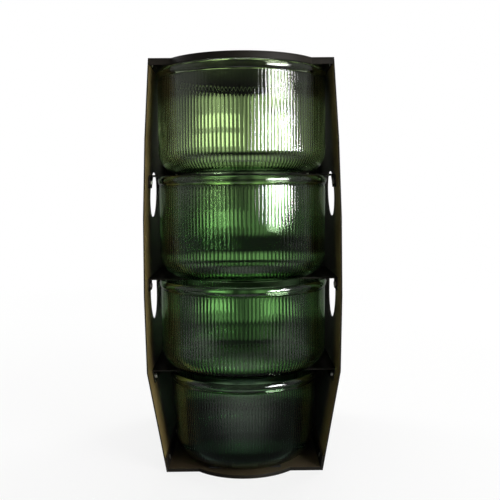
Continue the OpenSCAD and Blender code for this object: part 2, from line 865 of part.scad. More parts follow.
module tray_screws() {
    color(zinc) at_axis() for (side = [-1, 1], z = tab_z)
        on_side(side) translate([tray_half + tab_reach / 2, gasket_y, z]) rotate([-90, 0, 0])
            screw(tab_screw_r, back_t + sheet_t + 2);
}

module door_gasket() {
    inset = 1;
    grow = inset + gasket_w;
    color(rubber) at_axis() difference() {
        translate([-hatch_half - grow, gasket_y, hatch_z0 - grow])
            cube([2 * (hatch_half + grow), gasket_t, hatch_z1 - hatch_z0 + 2 * grow]);
        translate([-hatch_half - inset, gasket_y - cut, hatch_z0 - inset])
            cube([2 * (hatch_half + inset), gasket_t + 2 * cut, hatch_z1 - hatch_z0 + 2 * inset]);
    }
}

module rear_door() {
    color(housing_paint) at_axis() difference() {
        translate([-door_half, door_y, hatch_z0 - door_lap])
            cube([2 * door_half, back_t, hatch_z1 - hatch_z0 + 2 * door_lap]);
        for (z = latch_z) latch_hole(z, latch_shaft_r + 1.5 + hole_gap);
        for (p = door_leaf_holes) door_hole(p);
    }
}

module latch_hole(z, r) {
    translate([latch_x, door_y - cut, z]) rotate([-90, 0, 0])
        cylinder(h = back_t + bush_t + 2 * cut, r = r);
}

// Hinges

module frame_hole(p) {
    translate([p[0], frame_y - 5, p[1]]) rotate([-90, 0, 0]) cylinder(h = 15, r = leaf_screw_r + hole_gap);
}

module door_hole(p) {
    translate([p[0], door_y - 5, p[1]]) rotate([-90, 0, 0]) cylinder(h = 15, r = leaf_screw_r + hole_gap);
}

// Height of the lower end of a knuckle, counted from 0 to 2
function knuckle_z(z, i) = z - hinge_h / 2 + i * (knuckle_h + slip_gap);

module knuckle(z, i) {
    translate([hinge_x, door_back, knuckle_z(z, i)]) cylinder(h = knuckle_h, r = knuckle_r);
}

module pin_bores(r) {
    for (z = hinge_z) translate([hinge_x, door_back, z - hinge_h]) cylinder(h = 2 * hinge_h, r = r);
}

module hinge_leaves_frame() {
    color(housing_paint) at_axis() difference() {
        for (z = hinge_z) {
            translate([frame_leaf_x - leaf_w, gasket_y, z - hinge_h / 2]) cube([leaf_w, leaf_t, hinge_h]);
            for (i = [0, 2]) {
                knuckle(z, i);
                translate([frame_leaf_x - leaf_t, gasket_y, knuckle_z(z, i)])
                    cube([hinge_x - frame_leaf_x + leaf_t, leaf_t, knuckle_h]);
            }
        }
        pin_bores(pin_r + run_gap);
        for (p = frame_leaf_holes) frame_hole(p);
    }
}

module hinge_leaves_door() {
    color(housing_paint) at_axis() difference() {
        for (z = hinge_z) {
            translate([door_leaf_x, door_back, z - hinge_h / 2]) cube([leaf_w, leaf_t, hinge_h]);
            knuckle(z, 1);
            translate([hinge_x, door_back, knuckle_z(z, 1)]) cube([door_leaf_x - hinge_x, leaf_t, knuckle_h]);
        }
        pin_bores(pin_r + run_gap);
        for (p = door_leaf_holes) door_hole(p);
    }
}

module hinge_screws_frame() {
    color(zinc) at_axis() for (p = frame_leaf_holes)
        translate([p[0], gasket_y + leaf_t, p[1]]) rotate([-90, 0, 0]) screw(leaf_screw_r, leaf_t + back_t);
}

module hinge_screws_door() {
    color(zinc) at_axis() for (p = door_leaf_holes)
        translate([p[0], door_back + leaf_t, p[1]]) rotate([-90, 0, 0]) screw(leaf_screw_r, leaf_t + back_t);
}

module hinge_pins() {
    head = 1;
    color(zinc) at_axis() for (z = hinge_z) translate([hinge_x, door_back, z - hinge_h / 2]) {
        cylinder(h = hinge_h, r = pin_r);
        translate([0, 0, hinge_h]) cylinder(h = head, r = 1.5 * pin_r);
    }
}

// Quarter-turn latches

module latch_bushes() {
    color(zinc) at_axis() for (z = latch_z) difference() {
        translate([latch_x, door_y, z]) rotate([-90, 0, 0]) {
            cylinder(h = back_t, r = latch_shaft_r + 1.5);
            translate([0, 0, back_t]) cylinder(h = bush_t, r = bush_r);
        }
        latch_hole(z, latch_shaft_r + run_gap);
    }
}

module latch_knob(z) {
    grip_w = 5;
    knob_y = door_back + bush_t + slip_gap;
    color("gray") at_axis() translate([latch_x, knob_y, z]) rotate([-90, 0, 0]) {
        cylinder(h = latch_knob_h / 3, r = latch_knob_r);
        intersection() {
            cylinder(h = latch_knob_h, r = latch_knob_r);
            translate([-grip_w / 2, -latch_knob_r, 0]) cube([grip_w, 2 * latch_knob_r, latch_knob_h]);
        }
        translate([0, 0, cam_y + cam_t - knob_y]) cylinder(h = knob_y - cam_y - cam_t, r = latch_shaft_r);
        translate([0, 0, cam_y - 2 - knob_y]) cylinder(h = cam_t + 2, r = cam_bore_r - hole_gap);
    }
}

module latch_cam(z) {
    tip_r = 5;
    color(zinc) at_axis() difference() {
        translate([latch_x, cam_y, z]) rotate([-90, 0, 0]) {
            cylinder(h = cam_t, r = latch_shaft_r + 2.5);
            translate([-tip_r, -cam_reach + tip_r, 0]) cube([2 * tip_r, cam_reach - tip_r, cam_t]);
            translate([0, -cam_reach + tip_r, 0]) cylinder(h = cam_t, r = tip_r);
        }
        translate([latch_x, cam_y - cut, z]) rotate([-90, 0, 0]) cylinder(h = cam_t + 2 * cut, r = cam_bore_r);
    }
}

module latch_knob_upper() {
    latch_knob(latch_high_z);
}

module latch_knob_lower() {
    latch_knob(latch_low_z);
}

module latch_cam_upper() {
    latch_cam(latch_high_z);
}

module latch_cam_lower() {
    latch_cam(latch_low_z);
}

// Conduit entry

module conduit_hub() {
    ear_r = 2.6 * hub_screw_r;
    color(housing_paint) at_axis() translate([0, hub_y, body_h]) difference() {
        union() {
            cylinder(h = hub_h, r = hub_r);
            translate([-hub_spacing / 2, -ear_r, 0]) cube([hub_spacing, 2 * ear_r, foot_t]);
            for (side = [-1, 1]) translate([side * hub_spacing / 2, 0, 0]) cylinder(h = foot_t, r = ear_r);
        }
        translate([0, 0, -cut]) cylinder(h = hub_h + 2 * cut, r = hub_bore_r);
        for (side = [-1, 1])
            translate([side * hub_spacing / 2, 0, -cut]) cylinder(h = foot_t + 2 * cut, r = hub_screw_r + hole_gap);
    }
}

module hub_screws() {
    nut_t = 3;
    color(zinc) at_axis() for (side = [-1, 1])
        translate([side * hub_spacing / 2, hub_y, body_h]) {
            translate([0, 0, foot_t]) screw(hub_screw_r, foot_t + sheet_t + nut_t);
            translate([0, 0, -sheet_t - nut_t]) cylinder(h = nut_t, r = 1.9 * hub_screw_r, $fn = 6);
        }
}

module bottom_plug() {
    color(rubber) at_axis() translate([0, hub_y, 0]) {
        translate([0, 0, 0.5]) cylinder(h = floor_t - 0.5, r = hub_bore_r - hole_gap);
        translate([0, 0, floor_t]) cylinder(h = plug_flange_t, r = hub_bore_r + 3);
    }
}

side_wall_left();
side_wall_right();
top_plate();
top_rim();
bottom_plate();
top_rivets();
bottom_rivets();
rail_upper_left();
rail_upper_right();
rail_middle_left();
rail_middle_right();
rail_lower_left();
rail_lower_right();
rail_screws();
seat_strips();
floor_strips();
lens_drum_1();
lens_drum_2();
lens_drum_3();
lens_drum_4();
opal_panel_1();
opal_panel_2();
opal_panel_3();
opal_panel_4();
panel_rail_left();
panel_rail_right();
lamp_tray();
light_baffles();
lamp_board_1();
lamp_board_2();
lamp_board_3();
lamp_board_4();
lamps();
board_screws();
driver();
driver_screws();
terminal_block();
terminal_screws();
wiring_loom();
loom_grommets();
earth_stud();
earth_nut();
back_frame();
frame_rivets();
tray_screws();
door_gasket();
rear_door();
hinge_leaves_frame();
hinge_leaves_door();
hinge_screws_frame();
hinge_screws_door();
hinge_pins();
latch_bushes();
latch_knob_upper();
latch_knob_lower();
latch_cam_upper();
latch_cam_lower();
conduit_hub();
hub_screws();
bottom_plug();
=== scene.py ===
import json
import math

import bmesh
import bpy
from mathutils import Euler, Matrix, Vector

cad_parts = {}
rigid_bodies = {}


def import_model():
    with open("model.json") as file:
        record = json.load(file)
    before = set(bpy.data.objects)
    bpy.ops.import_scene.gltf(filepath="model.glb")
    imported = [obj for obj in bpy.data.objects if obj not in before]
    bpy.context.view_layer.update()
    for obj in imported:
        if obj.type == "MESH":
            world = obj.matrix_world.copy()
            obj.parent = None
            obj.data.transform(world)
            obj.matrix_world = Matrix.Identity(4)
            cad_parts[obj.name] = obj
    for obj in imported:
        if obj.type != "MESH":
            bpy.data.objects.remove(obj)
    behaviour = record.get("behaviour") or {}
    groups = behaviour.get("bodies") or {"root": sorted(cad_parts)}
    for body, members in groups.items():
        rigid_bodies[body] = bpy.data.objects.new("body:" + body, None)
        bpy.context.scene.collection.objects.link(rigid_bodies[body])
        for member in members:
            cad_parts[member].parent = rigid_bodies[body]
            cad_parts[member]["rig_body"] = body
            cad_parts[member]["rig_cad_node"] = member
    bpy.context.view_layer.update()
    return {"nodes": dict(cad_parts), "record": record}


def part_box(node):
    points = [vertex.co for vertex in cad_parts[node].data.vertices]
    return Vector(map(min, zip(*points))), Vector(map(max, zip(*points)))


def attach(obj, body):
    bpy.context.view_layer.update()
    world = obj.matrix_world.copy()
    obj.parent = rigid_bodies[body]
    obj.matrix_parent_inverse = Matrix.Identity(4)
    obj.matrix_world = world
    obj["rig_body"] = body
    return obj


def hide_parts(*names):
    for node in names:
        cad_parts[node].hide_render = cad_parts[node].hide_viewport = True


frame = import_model()
cadNodes = frame["nodes"]
slotOf = {row["node"]: row["material_slot"] for row in frame["record"]["subparts"]}
bodyOf = {name: part["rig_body"] for name, part in cadNodes.items()}
mm = 0.001


# hand tools

def letGo():
    active = bpy.context.view_layer.objects.active
    if active and active.mode != "OBJECT":
        bpy.ops.object.mode_set(mode="OBJECT")
    bpy.ops.object.select_all(action="DESELECT")


def hold(piece):
    letGo()
    piece.select_set(True)
    bpy.context.view_layer.objects.active = piece
    return piece


def edit(piece):
    hold(piece)
    bpy.ops.object.mode_set(mode="EDIT")
    return piece


def done():
    bpy.ops.object.mode_set(mode="OBJECT")


def pick(piece, test, kind="VERT"):
    # selects the corners or faces that pass a test
    bpy.ops.mesh.select_mode(type=kind)
    bpy.ops.mesh.select_all(action="DESELECT")
    shape = bmesh.from_edit_mesh(piece.data)
    parts = {"VERT": shape.verts, "FACE": shape.faces}[kind]
    found = 0
    for part in parts:
        if test(part):
            part.select_set(True)
            found += 1
    shape.select_flush_mode()
    bmesh.update_edit_mesh(piece.data)
    return found


def applyModifier(piece, kind, **settings):
    hold(piece)
    modifier = piece.modifiers.new(kind.lower(), kind)
    for key, value in settings.items():
        setattr(modifier, key, value)
    bpy.ops.object.modifier_apply(modifier=modifier.name)


def smooth(piece, angle):
    hold(piece)
    bpy.ops.object.shade_smooth_by_angle(angle=math.radians(angle))


def dress(piece, *materials):
    piece.data.materials.clear()
    for material in materials:
        piece.data.materials.append(material)


def standFor(piece, node):
    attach(piece, bodyOf[node])
    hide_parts(node)


# shader tools

class Wire:
    # a socket; sums and products of it add Math nodes
    def __init__(self, paint, socket):
        self.paint = paint
        self.socket = socket

    def math(self, operation, first, second):
        return self.paint.add("ShaderNodeMath", {"operation": operation}, {0: first, 1: second})

    def __add__(self, other):
        return self.math("ADD", self, other)

    def __radd__(self, other):
        return self.math("ADD", other, self)

    def __sub__(self, other):
        return self.math("SUBTRACT", self, other)

    def __rsub__(self, other):
        return self.math("SUBTRACT", other, self)

    def __mul__(self, other):
        return self.math("MULTIPLY", self, other)

    def __rmul__(self, other):
        return self.math("MULTIPLY", other, self)

    def __pow__(self, other):
        return self.math("POWER", self, other)


class Paint:
    # a node tree that is built from the back to the output
    def __init__(self, owner):
        owner.use_nodes = True
        self.owner = owner
        self.tree = owner.node_tree
        self.tree.nodes.clear()

    def add(self, kind, settings=None, sockets=None, out=0):
        node = self.tree.nodes.new(kind)
        for key, value in (settings or {}).items():
            if key == "stops":
                ramp = node.color_ramp
                while len(ramp.elements) < len(value):
                    ramp.elements.new(1.0)
                for stop, (place, colour) in zip(ramp.elements, value):
                    stop.position = place
                    stop.color = (*colour, 1.0)
            else:
                setattr(node, key, value)
        for key, value in (sockets or {}).items():
            if isinstance(value, Wire):
                self.tree.links.new(value.socket, node.inputs[key])
            else:
                node.inputs[key].default_value = value
        return Wire(self, node.outputs[out]) if node.outputs else None

    def place(self, stretch=(1, 1, 1)):
        coords = self.add("ShaderNodeTexCoord", out="Object")
        return self.add("ShaderNodeMapping", {}, {"Vector": coords, "Scale": stretch})

    def part(self, vector, axis):
        return self.add("ShaderNodeSeparateXYZ", {}, {"Vector": vector}, out=axis)

    def wave(self, place, pitch):
        return self.add("ShaderNodeMath", {"operation": "COSINE"}, {0: place * (2 * math.pi / pitch)})

    def unsigned(self, value):
        return self.add("ShaderNodeMath", {"operation": "ABSOLUTE"}, {0: value})

    def noise(self, scale, detail=3.0, stretch=(1, 1, 1), rough=0.55):
        return self.add("ShaderNodeTexNoise", {}, {
            "Vector": self.place(stretch), "Scale": scale, "Detail": detail, "Roughness": rough})

    def ramp(self, factor, low, high):
        return self.add("ShaderNodeMapRange", {"clamp": True}, {
            "Value": factor, "From Min": low, "From Max": high})

    def blend(self, factor, first, second):
        return self.add("ShaderNodeMix", {"data_type": "RGBA"}, {
            0: factor, 6: rgba(first), 7: rgba(second)}, out=2)

    def bump(self, height, depth, strength=1.0):
        return self.add("ShaderNodeBump", {}, {"Height": height, "Distance": depth, "Strength": strength})

    def finish(self, sockets):
        surface = self.add("ShaderNodeBsdfPrincipled", {}, sockets)
        self.add("ShaderNodeOutputMaterial", {}, {"Surface": surface})
        return self.owner


def rgba(colour):
    return colour if isinstance(colour, Wire) else (*colour, 1.0)


def newPaint(name):
    return Paint(bpy.data.materials.new(name))


# finishes

patternLimits = {"cloud": (0.35, 0.65), "scuff": (0.62, 0.72), "stain": (0.45, 0.7), "cords": (0.3, 0.7)}


def enamel(name, look):
    paint = newPaint(name)
    cloud = paint.ramp(paint.noise(look["cloud"]), *patternLimits["cloud"])
    grain = paint.noise(look["grain"], detail=2.0)
    scratches = paint.noise(look["scuff"], detail=6.0, stretch=(1, 1, 0.25), rough=0.7)
    scuff = paint.ramp(scratches, *patternLimits["scuff"])
    tone = paint.blend(cloud, look["dark"], look["light"])
    return paint.finish({
        "Base Color": paint.blend(scuff * look["wear"], tone, look["worn"]),
        "Roughness": look["rough"] + grain * look["roughSpan"] - scuff * look["scuffShine"],
        "Specular IOR Level": look["gloss"],
        "Normal": paint.bump(grain, look["peel"], strength=0.5)})


def lacquerPaintedShadow(name, look):
    paint = newPaint(name)
    cloud = paint.ramp(paint.noise(look["cloud"]), *patternLimits["cloud"])
    grain = paint.noise(look["grain"], detail=2.0)
    depth = paint.part(paint.place(), "Y")
    # painted shadow: behind edge the lacquer turns to the greyer deep tone, standing for the shadow that the
    # drums cast on the inside
    drumShadow = paint.ramp(depth + (cloud - 0.5) * look["waver"], look["edge"], look["edge"] + look["fade"])
    tone = paint.blend(cloud, look["dark"], look["light"])
    return paint.finish({
        "Base Color": paint.blend(drumShadow, tone, look["deep"]),
        "Roughness": look["rough"] + grain * look["roughSpan"],
        "Specular IOR Level": look["gloss"],
        "Normal": paint.bump(grain, look["peel"], strength=0.5)})


def glass(name, look):
    paint = newPaint(name)
    cords = paint.ramp(paint.noise(look["cords"], stretch=(1, 1, 0.3)), *patternLimits["cords"])
    haze = paint.noise(look["haze"], detail=4.0)
    ripple = paint.noise(look["ripple"], detail=2.0, stretch=(1, 1, 0.4))
    height = paint.part(paint.place(), "Z")
    # painted light and shade: the glass is paler and yellower towards the top and a deeper blue green lower
    # down, where less light falls
    melt = paint.add("ShaderNodeValToRGB", {"stops": look["melt"]}, {"Fac": height * look["perMetre"]})
    return paint.finish({
        "Base Color": paint.blend(cords * look["cordTone"], melt, look["deep"]),
        "Roughness": look["rough"] + haze * look["roughSpan"],
        "IOR": look["ior"],
        "Transmission Weight": 1.0,
        "Normal": paint.bump(ripple, look["rippleDepth"], strength=0.6)})


def opal(name, look):
    # the emission is painted light: a glow set per panel, bright in the top panel and nearly dark in the
    # bottom one, lit in a band between low and high and a strip between foot and footTop, with painted shade
    # between them and at the edges, fading out past half
    paint = newPaint(name)
    coords = paint.add("ShaderNodeTexCoord", out="Object")
    across = paint.part(coords, "X")
    height = paint.part(coords, "Z")
    fade = look["fade"] * mm

    def rise(place, edge, before, after):
        return paint.ramp(place, edge * mm - before, edge * mm + after)

    spots = paint.wave(across - look["phase"], look["pitch"])
    ribs = paint.wave(across, look["rib"])
    window = rise(height, look["low"], fade, fade) * (1 - rise(height, look["high"], fade, fade))
    strip = rise(height, look["foot"], 0, fade) * (1 - rise(height, look["footTop"], fade, fade))
    side = paint.unsigned(across)
    middle = 1 - rise(side, look["half"], look["soft"] * mm, look["soft"] * mm)
    glow = 1 - look["spots"] + spots * look["spots"] + ribs * look["ribs"]
    glow = glow * (window * look["glow"] + strip * look["footGlow"]) * middle
    # brighter areas, painted highlights
    for left, right, bottom, top, level in look["paintedHighlights"]:
        paintedHighlight = rise(across, left, 0, fade) * (1 - rise(across, right, fade, 0))
        paintedHighlight = paintedHighlight * rise(height, bottom, 0, fade) * (1 - rise(height, top, fade, 0))
        glow = glow + paintedHighlight * level
    milk = paint.noise(look["milk"], detail=4.0)
    grain = paint.noise(look["grain"], detail=2.0)
    paintedLight = paint.blend(glow * (look["milkLeast"] + milk * look["milkSpan"]), look["shade"], look["lamp"])
    return paint.finish({
        "Base Color": paint.blend(milk, look["dark"], look["light"]),
        "Roughness": look["rough"] + milk * look["roughSpan"],
        "Emission Color": paintedLight,
        "Emission Strength": look["power"],
        "Normal": paint.bump(grain, look["depth"], strength=0.4)})


def plated(name, look):
    paint = newPaint(name)
    streak = paint.noise(look["streak"], detail=4.0, stretch=look["stretch"])
    stain = paint.ramp(paint.noise(look["stain"], detail=4.0), *patternLimits["stain"])
    return paint.finish({
        "Base Color": paint.blend(stain, look["light"], look["dark"]),
        "Metallic": 1.0,
        "Roughness": look["rough"] + streak * look["roughSpan"] + stain * look["stainDull"],
        "Normal": paint.bump(streak, look["depth"], strength=0.4)})


def moulded(name, look):
    paint = newPaint(name)
    grain = paint.noise(look["grain"])
    cloud = paint.noise(look["cloud"])
    return paint.finish({
        "Base Color": paint.blend(cloud, look["dark"], look["light"]),
        "Roughness": look["rough"] + grain * look["roughSpan"],
        "Specular IOR Level": look["gloss"],
        "Normal": paint.bump(grain, look["depth"], strength=0.6)})


housingLook = {
    "dark": (0.0075, 0.0062, 0.0042), "light": (0.014, 0.0116, 0.0076), "worn": (0.03, 0.023, 0.013),
    "cloud": 16.0, "grain": 850.0, "scuff": 34.0, "wear": 0.3,
    "rough": 0.46, "roughSpan": 0.16, "gloss": 0.22, "peel": 0.00006, "scuffShine": 0.08}
# deep is the greyer tone of the painted drum shadow, reached from edge backwards over fade, in metres
insideLook = {
    "dark": (0.135, 0.096, 0.034), "light": (0.2, 0.146, 0.055), "deep": (0.105, 0.097, 0.098),
    "edge": -0.062, "fade": 0.024, "waver": 0.006, "cloud": 21.0, "grain": 700.0,
    "rough": 0.5, "roughSpan": 0.18, "gloss": 0.25, "peel": 0.00007}
# painted shade: the bottom plate's inside is a darker copy of the wall lacquer, standing for the low light
# that falls on it
shadedFloorLook = {
    **insideLook, "dark": (0.06, 0.044, 0.024), "light": (0.085, 0.062, 0.034), "deep": (0.05, 0.042, 0.031)}
trayLook = {
    "dark": (0.62, 0.62, 0.59), "light": (0.74, 0.74, 0.71), "worn": (0.5, 0.48, 0.44),
    "cloud": 14.0, "grain": 800.0, "scuff": 28.0, "wear": 0.25,
    "rough": 0.34, "roughSpan": 0.15, "gloss": 0.5, "peel": 0.00005, "scuffShine": 0.08}
glassLook = {
    "melt": [(0.03, (0.34, 0.58, 0.47)), (0.2, (0.45, 0.74, 0.41)), (0.6, (0.5, 0.76, 0.43)),
             (0.8, (0.66, 0.77, 0.52))],
    "perMetre": 2.2, "deep": (0.46, 0.62, 0.38), "cordTone": 0.25, "cords": 22.0, "haze": 60.0,
    "ripple": 70.0, "rippleDepth": 0.000002, "rough": 0.008, "roughSpan": 0.02, "ior": 1.51}
zincLook = {
    "light": (0.72, 0.72, 0.7), "dark": (0.48, 0.47, 0.44), "streak": 420.0, "stretch": (1, 1, 1),
    "stain": 180.0, "stainDull": 0.1, "rough": 0.2, "roughSpan": 0.18, "depth": 0.00003}
latchLook = {
    "light": (0.36, 0.36, 0.37), "dark": (0.24, 0.24, 0.24), "streak": 600.0, "stretch": (1, 0.2, 1),
    "stain": 120.0, "stainDull": 0.1, "rough": 0.28, "roughSpan": 0.2, "depth": 0.00004}
brassLook = {
    "light": (0.78, 0.58, 0.25), "dark": (0.5, 0.33, 0.13), "streak": 500.0, "stretch": (1, 0.3, 1),
    "stain": 220.0, "stainDull": 0.1, "rough": 0.22, "roughSpan": 0.2, "depth": 0.00003}
driverLook = {
    "light": (0.7, 0.71, 0.72), "dark": (0.58, 0.59, 0.6), "streak": 300.0, "stretch": (1, 1, 0.03),
    "stain": 50.0, "stainDull": 0.1, "rough": 0.3, "roughSpan": 0.2, "depth": 0.00003}
rubberLook = {
    "dark": (0.016, 0.016, 0.016), "light": (0.03, 0.03, 0.029), "grain": 900.0, "cloud": 40.0,
    "rough": 0.62, "roughSpan": 0.25, "gloss": 0.3, "depth": 0.0001}
boardLook = {
    "dark": (0.62, 0.66, 0.6), "light": (0.74, 0.78, 0.71), "grain": 500.0, "cloud": 60.0,
    "rough": 0.35, "roughSpan": 0.2, "gloss": 0.5, "depth": 0.00004}
resinLook = {
    "dark": (0.7, 0.58, 0.18), "light": (0.85, 0.75, 0.32), "grain": 800.0, "cloud": 260.0,
    "rough": 0.14, "roughSpan": 0.1, "gloss": 0.5, "depth": 0.00002}
terminalLook = {
    "dark": (0.05, 0.05, 0.054), "light": (0.075, 0.075, 0.08), "grain": 950.0, "cloud": 70.0,
    "rough": 0.45, "roughSpan": 0.2, "gloss": 0.45, "depth": 0.00006}
wireLook = {
    "dark": (0.2, 0.018, 0.014), "light": (0.29, 0.03, 0.022), "grain": 700.0, "cloud": 90.0,
    "rough": 0.38, "roughSpan": 0.15, "gloss": 0.5, "depth": 0.00004}
# the panels' painted light runs from shade, black, to lamp, a pale yellow green
opalLook = {
    "dark": (0.05, 0.055, 0.045), "light": (0.075, 0.08, 0.07), "milk": 30.0, "pitch": 0.064, "phase": 0.03,
    "spots": 0.42, "rib": 0.023, "ribs": 0.22, "milkLeast": 0.8, "milkSpan": 0.4,
    "rough": 0.32, "roughSpan": 0.15, "grain": 900.0, "depth": 0.00003,
    "shade": (0.0, 0.0, 0.0), "lamp": (0.95, 1.0, 0.86), "fade": 3}
# painted glow of the panels; heights and half widths in mm; a painted highlight is left, right, bottom, top
# and level
paintedPanelGlow = {
    "opal_panel_1": {
        "power": 2.3, "glow": 0.36, "low": 359, "high": 433, "foot": 331, "footTop": 349, "footGlow": 0.25,
        "half": 86, "soft": 3, "paintedHighlights": [(-42, -18, 391, 411, 0.95), (-42, -18, 366, 386, 0.95)]},
    "opal_panel_2": {
        "power": 0.9, "glow": 0.33, "low": 254, "high": 321, "foot": 215, "footTop": 229, "footGlow": 0.64,
        "half": 66, "soft": 8, "paintedHighlights": [(-46, -6, 263, 288, 0.34)]},
    "opal_panel_3": {
        "power": 1.0, "glow": 0.38, "low": 140, "high": 179, "foot": 111, "footTop": 135, "footGlow": 0.13,
        "half": 54, "soft": 12, "paintedHighlights": [(-48, -24, 153, 170, 0.8), (36, 56, 147, 170, 0.62)]},
    "opal_panel_4": {
        "power": 0.3, "glow": 1.0, "low": 44, "high": 55, "foot": 31, "footTop": 36, "footGlow": 0.0,
        "half": 46, "soft": 14, "paintedHighlights": []}}

housingPaint = enamel("housingPaint", housingLook)
insideCoats = {"wall": lacquerPaintedShadow("insideLacquerShadowed", insideLook), "floor": lacquerPaintedShadow("shadedFloorLacquer", shadedFloorLook)}
finishes = {
    "housing_paint": housingPaint,
    "tray_white": enamel("trayEnamel", trayLook),
    "green_glass": glass("greenGlass", glassLook),
    "zinc_steel": plated("zincPlate", zincLook),
    "latch_metal": plated("satinCast", latchLook),
    "earth_brass": plated("plainBrass", brassLook),
    "driver_case": plated("driverCase", driverLook),
    "rubber": moulded("blackRubber", rubberLook),
    "circuit_board": moulded("whiteBoard", boardLook),
    "lamp_resin": moulded("lampResin", resinLook),
    "terminal_plastic": moulded("terminalPlastic", terminalLook),
    "wire_jacket": moulded("wireJacket", wireLook)}
panelSheets = {
    node: opal("opalSheet" + node[-1], {**opalLook, **glow}) for node, glow in paintedPanelGlow.items()}
print("finishes made:", len(finishes) + len(insideCoats) + len(panelSheets))


# lens drums: one flute is turned, shaped and repeated round the axis

drumShape = {
    "flutes": 150, "steps": 6, "depth": 0.3 * mm, "wall": 4.5 * mm, "base": 5 * mm, "heel": 24 * mm,
    "innerHeel": 19 * mm, "bead": 9.5 * mm, "beadStep": 1.5 * mm, "beadTurn": 72, "bulge": 2.1 * mm,
    "heelAngle": 9, "sharp": 15, "fluteEnd": 2.4 * mm, "fluteStop": 0.8 * mm, "lipIn": 2 * mm,
    "lipEase": 0.6 * mm, "sectorMerge": 0.002 * mm, "ringMerge": 0.005 * mm, "near": 0.02 * mm}
drumFoot = {
    "lens_drum_1": 94.5 * mm, "lens_drum_2": 94.5 * mm, "lens_drum_3": 94.5 * mm, "lens_drum_4": 80 * mm}


def drumProfile(footR, beadR, height):
    # outline from the middle of the base, up the outside and down the inside, with the weight of the flutes
    s = drumShape
    heel, inner, wall, step = s["heel"], s["innerHeel"], s["wall"], s["heelAngle"]
    topR = beadR - s["beadStep"]
    neck = height - s["bead"]
    turn = math.radians(s["beadTurn"])

    def onWall(z, weight):
        return footR + (topR - footR) * (z - heel) / (neck - heel), z, weight

    points = [(0, 0, 0), (footR - heel, 0, 0)]
    for angle in range(step, 91, step):
        a = math.radians(angle)
        weight = min(1.0, (angle - step) / step)
        points.append((footR - heel + heel * math.sin(a), heel - heel * math.cos(a), weight))
    points += [onWall(neck - s["fluteEnd"], 1), onWall(neck - s["fluteStop"], 0)]
    for angle in range(-s["beadTurn"], s["beadTurn"] + 1, step):
        a = math.radians(angle)
        points.append((beadR - s["bulge"] * (1 - math.cos(a)) / (1 - math.cos(turn)),
                       neck + s["bead"] / 2 * (1 + math.sin(a) / math.sin(turn)), 0))
    points += [(topR - wall + s["lipIn"], height, 0), (topR - wall + s["lipEase"], height - s["lipEase"], 0),
               (topR - wall, height - s["lipIn"], 0)]
    for angle in range(90, -1, -step):
        a = math.radians(angle)
        points.append((footR - wall - inner + inner * math.sin(a),
                       s["base"] + inner - inner * math.cos(a), 0))
    return points + [(0, s["base"], 0)]


def turnDrum(node):
    s = drumShape
    low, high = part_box(node)
    axis = Vector((0, (low.y + high.y) / 2, 0))
    profile = drumProfile(drumFoot[node], (high.x - low.x) / 2, high.z - low.z)
    letGo()
    bpy.ops.mesh.primitive_plane_add(size=mm, location=(0, 0, 0))
    drum = bpy.context.object
    drum.name = node.replace("lens_drum", "flutedDrum")
    edit(drum)
    bpy.ops.mesh.merge(type="CENTER")
    bpy.ops.transform.translate(value=(0, axis.y, low.z))
    for (r0, z0, _), (r1, z1, _) in zip(profile, profile[1:]):
        bpy.ops.mesh.extrude_region_move(TRANSFORM_OT_translate={"value": (r1 - r0, 0, z1 - z0)})
    # one flute wide
    sector = 2 * math.pi / s["flutes"]
    bpy.ops.mesh.select_all(action="SELECT")
    bpy.ops.mesh.spin(steps=s["steps"], angle=sector, center=axis, axis=(0, 0, 1))
    bpy.ops.mesh.select_all(action="SELECT")
    bpy.ops.mesh.remove_doubles(threshold=s["sectorMerge"])
    spots = [(r, z + low.z, weight) for r, z, weight in profile if weight]

    def column(corner):
        away = corner.co - axis
        angle = abs(math.atan2(away.y, away.x)) / sector * s["steps"]
        return round(angle), math.hypot(away.x, away.y), corner.co.z

    def inGroove(corner, step, weight):
        place, r, z = column(corner)
        return place in (step, s["steps"] - step) and any(
            abs(r - spotR) < s["near"] and abs(z - spotZ) < s["near"]
            for spotR, spotZ, spotWeight in spots if spotWeight == weight)

    for weight in sorted({weight for _, _, weight in spots}):
        for step in range(s["steps"] // 2):
            sink = s["depth"] * weight * (1 - 2 * step / s["steps"]) ** 2
            size = 1 - sink / drumFoot[node]
            if pick(drum, lambda corner: inGroove(corner, step, weight)):
                bpy.ops.transform.resize(value=(size, size, 1), center_override=axis)
    # repeated all the way round
    bpy.ops.mesh.select_all(action="SELECT")
    copies = s["flutes"] - 1
    bpy.ops.mesh.spin(steps=copies, angle=sector * copies, center=axis, axis=(0, 0, 1), dupli=True)
    bpy.ops.mesh.select_all(action="SELECT")
    bpy.ops.mesh.remove_doubles(threshold=s["ringMerge"])
    bpy.ops.mesh.select_all(action="SELECT")
    bpy.ops.mesh.normals_make_consistent(inside=False)
    done()
    smooth(drum, s["sharp"])
    dress(drum, finishes["green_glass"])
    standFor(drum, node)
    return drum


drums = [turnDrum(node) for node in drumFoot]
print("lens drums turned:", [len(drum.data.polygons) for drum in drums], "faces")


# sheet and block pieces: copies of the solids with eased edges, given as width in mm and segments

